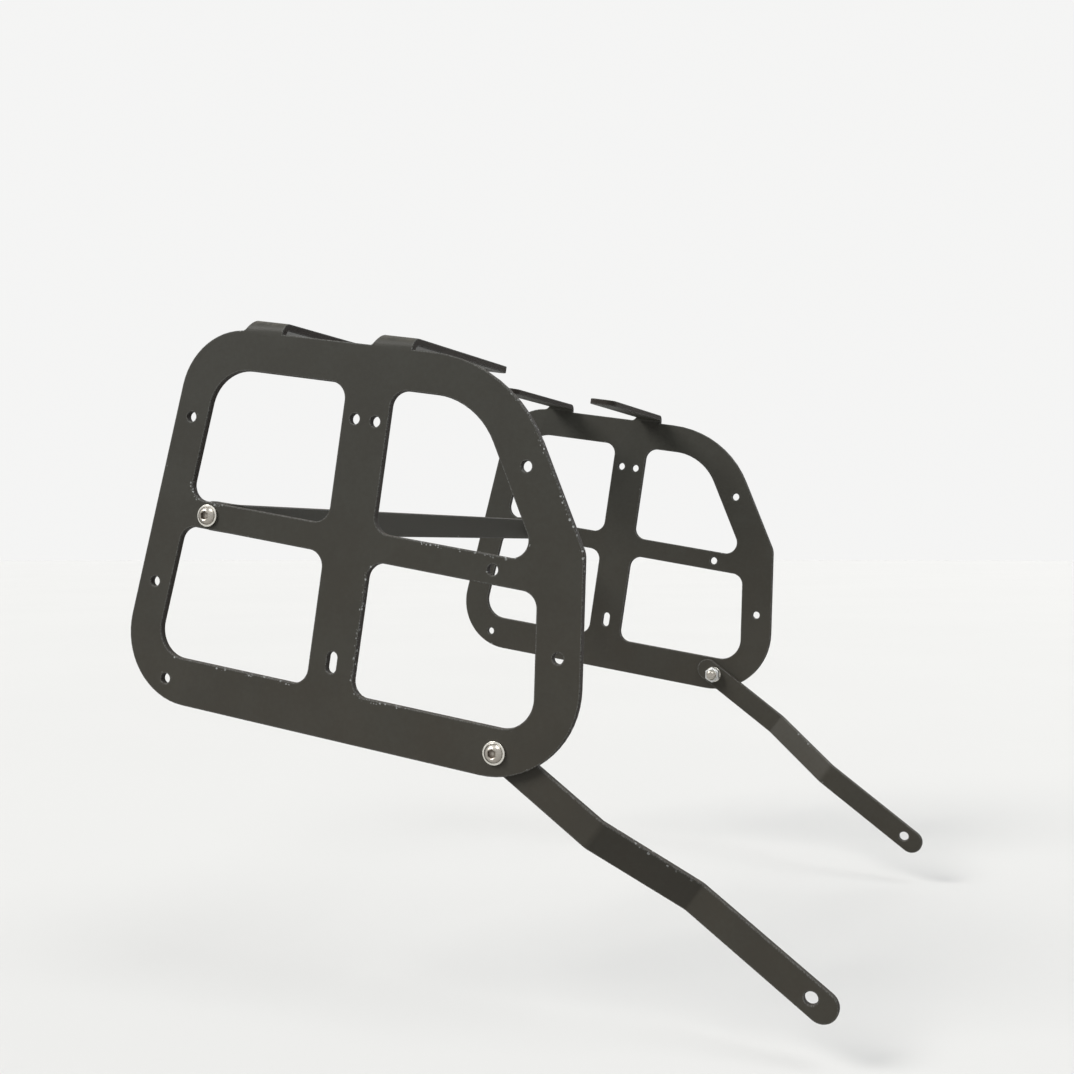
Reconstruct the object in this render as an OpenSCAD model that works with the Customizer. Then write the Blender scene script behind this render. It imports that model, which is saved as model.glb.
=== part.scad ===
// Pannier frame: two laser-cut side plates, a rear cross brace and two joggled
// lower struts, bolted together with button-head screws.
// X points forward, Y to the left and Z up, with the plates raked as they are fitted.

/* [Whole frame] */
// Width over the outer faces of the two side plates
overall_w = 570; // [420:5:700]
// Angle by which the plates' crossbars fall towards the front
rake = 8.8; // [0:0.2:15]

/* [Side plate outline] */
// Thickness of the side plates
plate_t = 5; // [4:0.5:8]
// Height of the plate's top edge above the crossbar's middle
top_rise = 128; // [110:1:150]
// Depth of the plate's bottom edge below the crossbar's middle
bottom_drop = 129; // [115:1:150]
// Distance from the centre bar to the rear edge at crossbar level
rear_reach = 151.5; // [135:0.5:180]
// Distance from the centre bar to the front edge at crossbar level
front_reach = 163; // [150:0.5:190]
// Lean of the rear edge, inwards towards the top
rear_lean = 6; // [0:0.5:10]
// Lean of the front edge, inwards towards the top
front_lean = 7; // [0:0.5:10]
// Angle of the sloping front shoulder from upright
shoulder_slope = 30.6; // [24:0.2:38]
// Height of the shoulder's lower corner above the crossbar's middle
shoulder_rise = 18; // [8:1:30]
// Radius of the long sweep from the top edge into the shoulder
sweep_r = 95; // [60:1:110]
// Radius of the shoulder's lower corner
shoulder_r = 18; // [8:1:30]
// Radius of the top rear corner
top_rear_r = 46; // [30:1:55]
// Radius of the bottom rear corner
bottom_rear_r = 50; // [35:1:58]
// Radius of the bottom front corner
bottom_front_r = 58; // [40:1:62]

/* [Side plate bars and windows] */
// Width of the rear bar
rear_bar_w = 25; // [20:0.5:32]
// Width of the front bar and of the shoulder
front_bar_w = 30; // [24:0.5:38]
// Width of the upright centre bar
centre_bar_w = 33.5; // [28:0.5:44]
// Height of the top bar
top_bar_h = 26.5; // [20:0.5:36]
// Height of the bottom bar
bottom_bar_h = 31.5; // [26:0.5:40]
// Height of the crossbar
crossbar_h = 18.5; // [16:0.5:26]
// Fall of the crossbar towards the front, against the top edge
crossbar_tilt = 0.8; // [0:0.1:2]
// Radius of the window corners that have no radius of their own
window_r = 11; // [6:0.5:16]
// Radius of the rear upper window's top rear corner
window_top_rear_r = 28; // [12:1:34]
// Radius of the two lower windows' outer bottom corners
window_bottom_r = 20; // [12:1:30]

/* [Pannier fixing holes] */
// Diameter of the fixing holes
fixing_hole_d = 7; // [5:0.1:9]
// Height of the rear bar's upper hole
rear_high_hole_z = 66; // [40:1:80]
// Depth of the rear bar's lower hole
rear_low_hole_z = 49; // [30:1:70]
// Distance of the bottom bar's hole from the rear edge at crossbar level
bottom_hole_inset = 26; // [20:0.5:70]
// Height of the pair of holes in the centre bar
pair_z = 79.5; // [50:0.5:88]
// Spacing of the pair of holes in the centre bar
pair_gap = 15; // [11:0.5:18]
// Height of the hole in the sloping shoulder
shoulder_hole_z = 65; // [45:1:75]
// Distance of the crossbar's hole from the front edge at crossbar level
crossbar_hole_inset = 60; // [50:1:100]
// Depth of the front bar's hole
front_hole_z = 48; // [30:1:70]
// Depth of the slot's middle in the centre bar
slot_z = 79; // [55:1:88]
// Width of the slot
slot_w = 7.3; // [5:0.1:9]
// Length of the slot
slot_l = 14.3; // [11:0.1:20]

/* [Top tongues] */
// Width of the tongues that turn inboard
tongue_w = 25; // [20:0.5:30]
// Reach of a tongue inboard from the plate's outer face
tongue_l = 160; // [100:1:175]
// Distance of the rear tongue's middle from the rear edge at crossbar level
rear_tongue_inset = 69.5; // [68:0.5:95]
// Distance of the front tongue's middle ahead of the centre bar
front_tongue_x = 14.5; // [-5:0.5:20]
// Inner radius of the tongue's bend
tongue_bend_r = 3; // [2:0.5:5]
// Extra width at the root of a tongue, on its rear side
tongue_root = 4.5; // [3:0.5:8]
// Radius of the hollow corner where that side meets the plate's top edge
tongue_root_r = 4; // [1:0.5:6]
// Radius of the tongue's end corners
tongue_end_r = 8; // [3:0.5:9.5]
// Diameter of the hole near the tongue's end
tongue_hole_d = 8.4; // [6:0.1:10]
// Distance of that hole from the tongue's end
tongue_hole_edge = 15; // [12:0.5:25]

/* [Flat bar of the brace and struts] */
// Width of the flat bar
bar_w = 20; // [18:0.5:26]
// Thickness of the flat bar
bar_t = 5; // [3:0.5:6]
// Inner radius of the flat bar's bends
bar_bend_r = 5; // [3:0.5:8]
// Distance of the brace's screws from the rear edge at crossbar level
brace_screw_inset = 43; // [40:0.5:60]

/* [Lower struts] */
// Distance of the strut's screw from the front edge at crossbar level
strut_screw_inset = 41.5; // [34:0.5:70]
// Distance between the strut's two holes
strut_l = 235; // [200:1:280]
// Angle at which the strut falls below the plate's bottom edge
strut_fall = 28; // [15:0.5:40]
// Distance from the upper hole to the first bend
joggle_start = 79; // [50:1:90]
// Length of the strut's middle part, along the strut
joggle_run = 67; // [50:1:90]
// Inboard step of the strut
joggle_step = 33; // [15:1:45]
// Distance from a hole to the strut's end
strut_tail = 18; // [13:0.5:24]
// Diameter of the hole at the strut's lower end
strut_foot_hole_d = 8.4; // [6:0.1:10]

/* [Screws, washers and nuts] */
// Thread diameter of the screws
screw_d = 8; // [6:0.5:8]
// Length of the screws under the head
screw_l = 25; // [24:1:32]
// Diameter of the domed head
head_d = 12.5; // [11:0.5:14]
// Height of the domed head
head_h = 4; // [3.2:0.1:5]
// Height of the straight rim under the dome
head_rim_h = 0.5; // [0.2:0.1:1]
// Width of the hexagon socket across its flats
socket_af = 5; // [4:0.5:6]
// Depth of the hexagon socket
socket_depth = 2.6; // [2:0.1:3]
// Extra diameter of a hole over the screw that passes through it
hole_clear = 0.4; // [0.2:0.1:1]
// Outer diameter of the washers
washer_d = 15; // [14.5:0.5:18]
// Thickness of the washers
washer_t = 1.6; // [1:0.1:2]
// Width of the lock nut across its flats
nut_af = 13; // [12:0.5:15]
// Height of the lock nut's hexagon
nut_hex_h = 6.2; // [5:0.1:7]
// Height of the lock nut's round collar
nut_collar_h = 1.8; // [1:0.1:2]
// Radius of the rim that is crimped over the nylon ring
nut_crimp_r = 0.7; // [0.3:0.1:0.8]
// Outer diameter of the nylon ring
ring_d = 10.2; // [9.4:0.1:10.4]
// Height of the nylon ring
ring_h = 1.5; // [0.8:0.1:1.8]
// Gap in diameter between the screw and the nut's thread
thread_clear = 0.1; // [0.05:0.05:0.2]

/* [Hidden] */
$fn = 64;
arc_step = 6;
over = 1;

joint_hole_d = screw_d + hole_clear;
brace_screw_x = rear_reach - brace_screw_inset;
bottom_hole_x = rear_reach - bottom_hole_inset;
rear_tongue_x = rear_reach - rear_tongue_inset;
strut_screw_x = front_reach - strut_screw_inset;
crossbar_hole_x = front_reach - crossbar_hole_inset;
brace_end = bar_w / 2;
bend_outer_r = tongue_bend_r + plate_t;
root_reach = tongue_root + tongue_root_r;
root_sink = 0.35;
root_foot = 2;
bar_outer_r = bar_bend_r + bar_t;
seat_y = plate_t;
nut_y = plate_t + bar_t + washer_t;
brace_bend_x = -brace_screw_x + max(brace_end, washer_d / 2 + 1);
brace_rear_face_x = brace_bend_x + bar_bend_r;
brace_z = crossbar_z(-brace_screw_x);
strut_screw_z = -bottom_drop + bottom_bar_h / 2;
nut_h = nut_hex_h + nut_collar_h;
ring_z = nut_h - 0.2 - ring_h;

powder_black = [0.27, 0.27, 0.25];
bright_steel = [0.78, 0.76, 0.72];
zinc_steel = [0.66, 0.66, 0.64];
white_nylon = [0.82, 0.8, 0.76];

// Geometry of lines, each held as a point and the angle of its direction

function heading(a) = [cos(a), sin(a)];

function meet(l, m) =
    let (d = heading(l[1]), e = heading(m[1]), g = m[0] - l[0])
    l[0] + d * (g.x * e.y - g.y * e.x) / (d.x * e.y - d.y * e.x);

function beside(l, gap) = [l[0] + gap * heading(l[1] + 90), l[1]];

function at_height(l, z) = meet(l, [[0, z], 0]);

// Points of the rounded corner p between its neighbours a and b, for turns to either side
function corner(a, p, b, r) =
    let (
        d1 = (p - a) / norm(p - a),
        d2 = (b - p) / norm(b - p),
        turn = atan2(d1.x * d2.y - d1.y * d2.x, d1 * d2),
        side = sign(turn),
        room = 0.48 * min(norm(p - a), norm(b - p)) / tan(abs(turn) / 2),
        fit = min(r, room),
        start = p - d1 * fit * tan(abs(turn) / 2),
        left = side * [-d1.y, d1.x],
        centre = start + left * fit,
        steps = max(2, ceil(abs(turn) / arc_step)),
        first = atan2(-left.y, -left.x)
    )
    [for (i = [0 : steps]) centre + fit * heading(first + turn * i / steps)];

// A closed outline with one radius for each of its corners
function rounded(points, radii) =
    let (n = len(points))
    [for (i = [0 : n - 1]) each corner(points[(i + n - 1) % n], points[i], points[(i + 1) % n], radii[i])];

// Edges of the plate, seen from its outer face with the front to the right

function rear_edge() = [[-rear_reach, 0], 90 - rear_lean];
function front_edge() = [[front_reach, 0], 90 + front_lean];
function top_edge() = [[0, top_rise], 0];
function bottom_edge() = [[0, -bottom_drop], 0];
function shoulder_edge() = [at_height(front_edge(), shoulder_rise), 90 + shoulder_slope];
function crossbar_line() = [[0, 0], -crossbar_tilt];
function crossbar_z(x) = -x * tan(crossbar_tilt);

function plate_outline() = rounded(
    [
        meet(bottom_edge(), rear_edge()), meet(bottom_edge(), front_edge()),
        meet(front_edge(), shoulder_edge()), meet(shoulder_edge(), top_edge()),
        meet(top_edge(), rear_edge())
    ],
    [bottom_rear_r, bottom_front_r, shoulder_r, sweep_r, top_rear_r]
);

rear_inner = beside(rear_edge(), -rear_bar_w);
front_inner = beside(front_edge(), front_bar_w);
shoulder_inner = beside(shoulder_edge(), front_bar_w);
top_inner = beside(top_edge(), -top_bar_h);
bottom_inner = beside(bottom_edge(), bottom_bar_h);
crossbar_top = beside(crossbar_line(), crossbar_h / 2);
crossbar_bottom = beside(crossbar_line(), -crossbar_h / 2);
centre_rear = [[-centre_bar_w / 2, 0], 90];
centre_front = [[centre_bar_w / 2, 0], 90];

function rear_upper_window() = rounded(
    [
        meet(crossbar_top, rear_inner), meet(crossbar_top, centre_rear),
        meet(top_inner, centre_rear), meet(top_inner, rear_inner)
    ],
    [window_r, window_r, window_r, window_top_rear_r]
);

function front_upper_window() = rounded(
    [
        meet(crossbar_top, centre_front), meet(crossbar_top, shoulder_inner),
        meet(shoulder_inner, top_inner), meet(top_inner, centre_front)
    ],
    [window_r, window_r, max(window_r, sweep_r - front_bar_w), window_r]
);

function rear_lower_window() = rounded(
    [
        meet(bottom_inner, rear_inner), meet(bottom_inner, centre_rear),
        meet(crossbar_bottom, centre_rear), meet(crossbar_bottom, rear_inner)
    ],
    [window_bottom_r, window_r, window_r, window_r]
);

function front_lower_window() = rounded(
    [
        meet(bottom_inner, centre_front), meet(bottom_inner, front_inner),
        meet(crossbar_bottom, front_inner), meet(crossbar_bottom, centre_front)
    ],
    [window_r, window_bottom_r, window_r, window_r]
);

// Every pannier fixing hole lies on the middle line of its own bar
fixing_holes = [
    at_height(beside(rear_edge(), -rear_bar_w / 2), rear_high_hole_z),
    at_height(beside(rear_edge(), -rear_bar_w / 2), -rear_low_hole_z),
    [-bottom_hole_x, strut_screw_z],
    [-pair_gap / 2, pair_z],
    [pair_gap / 2, pair_z],
    at_height(beside(shoulder_edge(), front_bar_w / 2), shoulder_hole_z),
    [crossbar_hole_x, crossbar_z(crossbar_hole_x)],
    at_height(beside(front_edge(), front_bar_w / 2), -front_hole_z)
];
joint_holes = [[-brace_screw_x, brace_z], [strut_screw_x, strut_screw_z]];

// Placement of the two sides

// The origin is the middle of the brace's rear face, between the two plates
module as_fitted() {
    rotate([0, rake, 0])
        translate([-brace_rear_face_x, 0, -brace_z])
            children();
}

// The right side is drawn with its outer face at y = 0 and inboard as +Y
module right_side() {
    as_fitted()
        translate([0, -overall_w / 2, 0])
            children();
}

module left_side() {
    as_fitted()
        mirror([0, 1, 0])
            translate([0, -overall_w / 2, 0])
                children();
}

// Lifts a drawing of the plate's plane into a slab that starts at y = 0
module slab(t) {
    translate([0, t, 0])
        rotate([90, 0, 0])
            linear_extrude(t)
                children();
}

module bore(d, length) {
    rotate([-90, 0, 0])
        translate([0, 0, -over])
            cylinder(d = d, h = length + 2 * over);
}

// Side plates

module tongue(x) {
    translate([x - tongue_w / 2, 0, top_rise]) {
        intersection() {
            translate([-root_reach, bend_outer_r, 0])
                rotate([0, 90, 0])
                    rotate([0, 0, 180])
                        rotate_extrude(angle = 90)
                            fold_section();
            translate([0, -over, 0])
                slab(bend_outer_r + 2 * over)
                    polygon(root_outline());
        }
        slab(plate_t)
            intersection() {
                polygon(root_outline());
                translate([-4 * root_reach, -root_foot])
                    square([tongue_w + 4 * root_reach, root_foot]);
            }
        translate([0, bend_outer_r, tongue_bend_r])
            linear_extrude(plate_t)
                tongue_plan(tongue_l - bend_outer_r);
    }
}

// Side view of a tongue's root, whose rear side climbs a ramp from a hollow corner in the plate's top edge
function root_outline() =
    let (
        slope = tongue_root / bend_outer_r,
        toe = [-tongue_root - root_sink * slope, -root_sink],
        crest = toe + (bend_outer_r + over + root_sink) * [slope, 1],
        hollow = corner(crest, toe, toe - [3 * tongue_root_r, 0], tongue_root_r)
    )
    concat([[tongue_w, -root_foot], [tongue_w, crest.y], crest], hollow,
           [[hollow[len(hollow) - 1].x, -root_foot]]);

// The straight part of a tongue, from its bend to its two rounded corners
module tongue_plan(straight) {
    r = tongue_end_r;
    difference() {
        union() {
            square([tongue_w, straight - r]);
            translate([r, 0])
                square([tongue_w - 2 * r, straight]);
            for (side = [r, tongue_w - r])
                translate([side, straight - r])
                    circle(r = r);
        }
        translate([tongue_w / 2, straight - tongue_hole_edge])
            circle(d = tongue_hole_d);
    }
}

// Section of the bend, turned about the bend's own axis
module fold_section() {
    translate([tongue_bend_r, 0])
        square([plate_t, tongue_w + root_reach]);
}

module side_plate() {
    color(powder_black) {
        difference() {
            slab(plate_t)
                difference() {
                    polygon(plate_outline());
                    polygon(rear_upper_window());
                    polygon(front_upper_window());
                    polygon(rear_lower_window());
                    polygon(front_lower_window());
                }
            for (p = fixing_holes)
                translate([p.x, 0, p.y])
                    bore(fixing_hole_d, plate_t);
            for (p = joint_holes)
                translate([p.x, 0, p.y])
                    bore(joint_hole_d, plate_t);
            translate([0, 0, -slot_z])
                slot();
        }
        tongue(-rear_tongue_x);
        tongue(front_tongue_x);
    }
}

module slot() {
    reach = (slot_l - slot_w) / 2;
    for (end = [-1, 1])
        translate([0, 0, end * reach])
            bore(slot_w, plate_t);
    translate([-slot_w / 2, -over, -reach])
        cube([slot_w, plate_t + 2 * over, 2 * reach]);
}

// Rear cross brace: one flat bar whose two ends turn rearward along the plates

module brace_ear() {
    difference() {
        union() {
            rotate([-90, 0, 0])
                cylinder(d = bar_w, h = bar_t);
            translate([0, 0, -bar_w / 2])
                cube([brace_bend_x + brace_screw_x, bar_t, bar_w]);
        }
        bore(joint_hole_d, bar_t);
    }
}

module brace_bend() {
    translate([brace_bend_x, seat_y + bar_outer_r, brace_z - bar_w / 2])
        rotate([0, 0, -90])
            rotate_extrude(angle = 90)
                translate([bar_bend_r, 0])
                    square([bar_t, bar_w]);
}

module brace_half() {
    translate([-brace_screw_x, seat_y, brace_z])
        brace_ear();
    brace_bend();
}

module rear_cross_brace() {
    color(powder_black) {
        right_side()
            brace_half();
        left_side()
            brace_half();
        as_fitted()
            translate([brace_rear_face_x, -overall_w / 2 + seat_y + bar_outer_r, brace_z - bar_w / 2])
                cube([bar_t, overall_w - 2 * (seat_y + bar_outer_r), bar_w]);
    }
}

// Lower struts, drawn along X from the upper hole

function strut_path(off) = [
    [-strut_tail, off],
    [joggle_start - off * tan(joggle_angle / 2), off],
    [joggle_start + joggle_run - off * tan(joggle_angle / 2), off + joggle_step],
    [strut_l + strut_tail, off + joggle_step]
];
joggle_angle = atan2(joggle_step, joggle_run);

// Rounds the strut's two bends on one face, whose inner and outer radii share a centre
function strut_face(off, first_r, second_r) =
    let (p = strut_path(off))
    [p[0], each corner(p[0], p[1], p[2], first_r), each corner(p[1], p[2], p[3], second_r), p[3]];

function reversed(points) = [for (i = [len(points) - 1 : -1 : 0]) points[i]];

function strut_section() = concat(
    strut_face(0, bar_outer_r, bar_bend_r),
    reversed(strut_face(bar_t, bar_bend_r, bar_outer_r))
);

module strut() {
    color(powder_black)
        translate([strut_screw_x, seat_y, strut_screw_z])
            rotate([0, strut_fall, 0])
                difference() {
                    intersection() {
                        translate([0, 0, -bar_w / 2])
                            linear_extrude(bar_w)
                                polygon(strut_section());
                        strut_blank();
                    }
                    bore(joint_hole_d, bar_t);
                    translate([strut_l, joggle_step, 0])
                        bore(strut_foot_hole_d, bar_t);
                }
}

// The flat bar's plan, with a full round at each end
module strut_blank() {
    tail = strut_tail - bar_w / 2;
    depth = joggle_step + bar_t;
    translate([0, -over, 0])
        slab(depth + 2 * over) {
            translate([-tail, -bar_w / 2])
                square([strut_l + 2 * tail, bar_w]);
            translate([-tail, 0])
                circle(d = bar_w);
            translate([strut_l + tail, 0])
                circle(d = bar_w);
        }
}

// Fasteners, drawn with the plate's outer face at y = 0 and the screw along +Y

module at_brace_joint() {
    translate([-brace_screw_x, 0, brace_z])
        rotate([-90, 0, 0])
            children();
}

module at_strut_joint() {
    translate([strut_screw_x, 0, strut_screw_z])
        rotate([-90, 0, 0])
            children();
}

// The dome stands on a short straight rim
module screw_head() {
    dome_h = head_h - head_rim_h;
    dome_r = (pow(head_d / 2, 2) + pow(dome_h, 2)) / (2 * dome_h);
    intersection() {
        translate([0, 0, dome_r - head_h])
            sphere(r = dome_r);
        translate([0, 0, -head_h])
            cylinder(d = head_d, h = head_h);
    }
}

// A hexagon socket whose mouth is widened by a shallow cone
module socket_cut() {
    corner_d = socket_af / cos(30);
    translate([0, 0, -head_h - over])
        cylinder(d = corner_d, h = socket_depth + over, $fn = 6);
    translate([0, 0, -head_h])
        cylinder(d1 = corner_d + 1, d2 = corner_d - 0.6, h = 0.8);
}

module button_screw() {
    tip = screw_d / 10;
    color(bright_steel)
        translate([0, 0, -washer_t])
            difference() {
                union() {
                    screw_head();
                    cylinder(d = screw_d, h = screw_l - tip);
                    translate([0, 0, screw_l - tip])
                        cylinder(d1 = screw_d, d2 = screw_d - 2 * tip, h = tip);
                }
                socket_cut();
            }
}

module washer(y) {
    color(bright_steel)
        translate([0, 0, y])
            difference() {
                cylinder(d = washer_d, h = washer_t);
                translate([0, 0, -over])
                    cylinder(d = joint_hole_d, h = washer_t + 2 * over);
            }
}

// A hexagon with its corners taken off by a cone at both ends
module nut_hexagon() {
    corner_d = nut_af / cos(30);
    bevel = (corner_d - nut_af) / 2 * tan(30);
    intersection() {
        cylinder(d = corner_d, h = nut_hex_h, $fn = 6);
        union() {
            cylinder(d1 = nut_af, d2 = corner_d, h = bevel);
            translate([0, 0, bevel])
                cylinder(d = corner_d + over, h = nut_hex_h - 2 * bevel);
            translate([0, 0, nut_hex_h - bevel])
                cylinder(d1 = corner_d, d2 = nut_af, h = bevel);
        }
    }
}

// The round collar, with its rim crimped inwards
module nut_collar() {
    collar_r = nut_af / 2 - 0.6;
    rotate_extrude()
        polygon(concat(
            [[0, nut_h], [0, nut_hex_h - over], [collar_r, nut_hex_h - over]],
            [for (a = [0 : 22.5 : 90]) [collar_r, nut_h] - nut_crimp_r * [1 - cos(a), 1 - sin(a)]]
        ));
}

module lock_nut() {
    color(zinc_steel)
        translate([0, 0, nut_y])
            difference() {
                union() {
                    nut_hexagon();
                    nut_collar();
                }
                translate([0, 0, -over])
                    cylinder(d = screw_d + thread_clear, h = nut_h + 2 * over);
                translate([0, 0, ring_z])
                    cylinder(d = ring_d, h = ring_h + over);
            }
}

module lock_ring() {
    color(white_nylon)
        translate([0, 0, nut_y + ring_z])
            difference() {
                cylinder(d = ring_d, h = ring_h);
                translate([0, 0, -over])
                    cylinder(d = screw_d + thread_clear, h = ring_h + 2 * over);
            }
}

right_side() side_plate();  // right_side_plate
left_side() side_plate();  // left_side_plate
rear_cross_brace();
right_side() strut();  // right_strut
left_side() strut();  // left_strut
right_side() at_brace_joint() button_screw();  // right_brace_screw
right_side() at_brace_joint() washer(-washer_t);  // right_brace_outer_washer
right_side() at_brace_joint() washer(nut_y - washer_t);  // right_brace_inner_washer
right_side() at_brace_joint() lock_nut();  // right_brace_nut
right_side() at_brace_joint() lock_ring();  // right_brace_nut_ring
left_side() at_brace_joint() button_screw();  // left_brace_screw
left_side() at_brace_joint() washer(-washer_t);  // left_brace_outer_washer
left_side() at_brace_joint() washer(nut_y - washer_t);  // left_brace_inner_washer
left_side() at_brace_joint() lock_nut();  // left_brace_nut
left_side() at_brace_joint() lock_ring();  // left_brace_nut_ring
right_side() at_strut_joint() button_screw();  // right_strut_screw
right_side() at_strut_joint() washer(-washer_t);  // right_strut_outer_washer
right_side() at_strut_joint() washer(nut_y - washer_t);  // right_strut_inner_washer
right_side() at_strut_joint() lock_nut();  // right_strut_nut
right_side() at_strut_joint() lock_ring();  // right_strut_nut_ring
left_side() at_strut_joint() button_screw();  // left_strut_screw
left_side() at_strut_joint() washer(-washer_t);  // left_strut_outer_washer
left_side() at_strut_joint() washer(nut_y - washer_t);  // left_strut_inner_washer
left_side() at_strut_joint() lock_nut();  // left_strut_nut
left_side() at_strut_joint() lock_ring();  // left_strut_nut_ring
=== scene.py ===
"""Pannier frame: powder-coated side plates, brace and struts, held together by bright fasteners."""
import logging
import math
from collections.abc import Callable
from dataclasses import dataclass, field
from enum import Enum

import bmesh
import bpy
from mathutils import Matrix, Vector


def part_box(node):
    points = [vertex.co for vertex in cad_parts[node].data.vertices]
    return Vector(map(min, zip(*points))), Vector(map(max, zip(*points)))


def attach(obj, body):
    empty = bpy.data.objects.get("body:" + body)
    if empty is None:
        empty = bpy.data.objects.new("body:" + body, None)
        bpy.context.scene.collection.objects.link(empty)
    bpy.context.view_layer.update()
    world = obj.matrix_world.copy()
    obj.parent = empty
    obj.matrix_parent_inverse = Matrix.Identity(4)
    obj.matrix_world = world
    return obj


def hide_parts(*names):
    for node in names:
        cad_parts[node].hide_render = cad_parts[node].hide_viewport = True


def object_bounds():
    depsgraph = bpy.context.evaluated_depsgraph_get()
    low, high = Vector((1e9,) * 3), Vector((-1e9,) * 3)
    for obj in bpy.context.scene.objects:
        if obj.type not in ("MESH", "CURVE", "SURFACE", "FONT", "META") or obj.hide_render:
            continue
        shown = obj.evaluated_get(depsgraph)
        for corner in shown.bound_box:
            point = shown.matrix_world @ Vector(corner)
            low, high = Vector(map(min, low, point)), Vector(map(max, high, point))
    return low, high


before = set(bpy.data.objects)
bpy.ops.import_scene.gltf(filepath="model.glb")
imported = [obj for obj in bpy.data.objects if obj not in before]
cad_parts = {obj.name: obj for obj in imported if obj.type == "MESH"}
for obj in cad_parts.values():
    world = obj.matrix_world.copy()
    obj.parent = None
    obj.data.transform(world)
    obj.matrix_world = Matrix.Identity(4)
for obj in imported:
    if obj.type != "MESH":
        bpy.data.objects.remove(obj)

LOG = logging.getLogger("pannier_frame")
MM = 0.001
BODY = "root"
CAD_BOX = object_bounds()

RAKE = math.radians(8.8)
DATUM = Vector((-93.5 * MM, 0.0, 1.515 * MM))
FORWARD = Vector((math.cos(RAKE), 0.0, -math.sin(RAKE)))
UPWARD = Vector((math.sin(RAKE), 0.0, math.cos(RAKE)))
PLATE_HALF = 285.0
TOP_RISE = 128.0
BEND_R = 8.0
BEND_END = TOP_RISE + BEND_R * math.pi / 2


class Side(Enum):
    """The two sides of the frame, each with the sign of its Y."""

    RIGHT = ("right", -1.0)
    LEFT = ("left", 1.0)

    @property
    def word(self) -> str:
        """The side's name as the nodes use it."""
        return self.value[0]

    @property
    def sign(self) -> float:
        """Minus one on the right and plus one on the left."""
        return self.value[1]


class Slot(Enum):
    """The record's material slots."""

    COAT = "powder_coat"
    STAINLESS = "stainless_steel"
    ZINC = "zinc_plated_steel"
    NYLON = "white_nylon"


def on_plate(ahead: float, above: float, across: float) -> Vector:
    """Place a point that is given on a side plate.

    Args:
        ahead: Millimetres ahead of the plate's centre bar.
        above: Millimetres above the crossbar's middle.
        across: The point's Y, in metres.

    Returns:
        The point in the frame's own axes, in metres.
    """
    flat = FORWARD * (ahead * MM - DATUM.x) + UPWARD * (above * MM - DATUM.z)
    return Vector((flat.x, across, flat.z))


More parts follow.
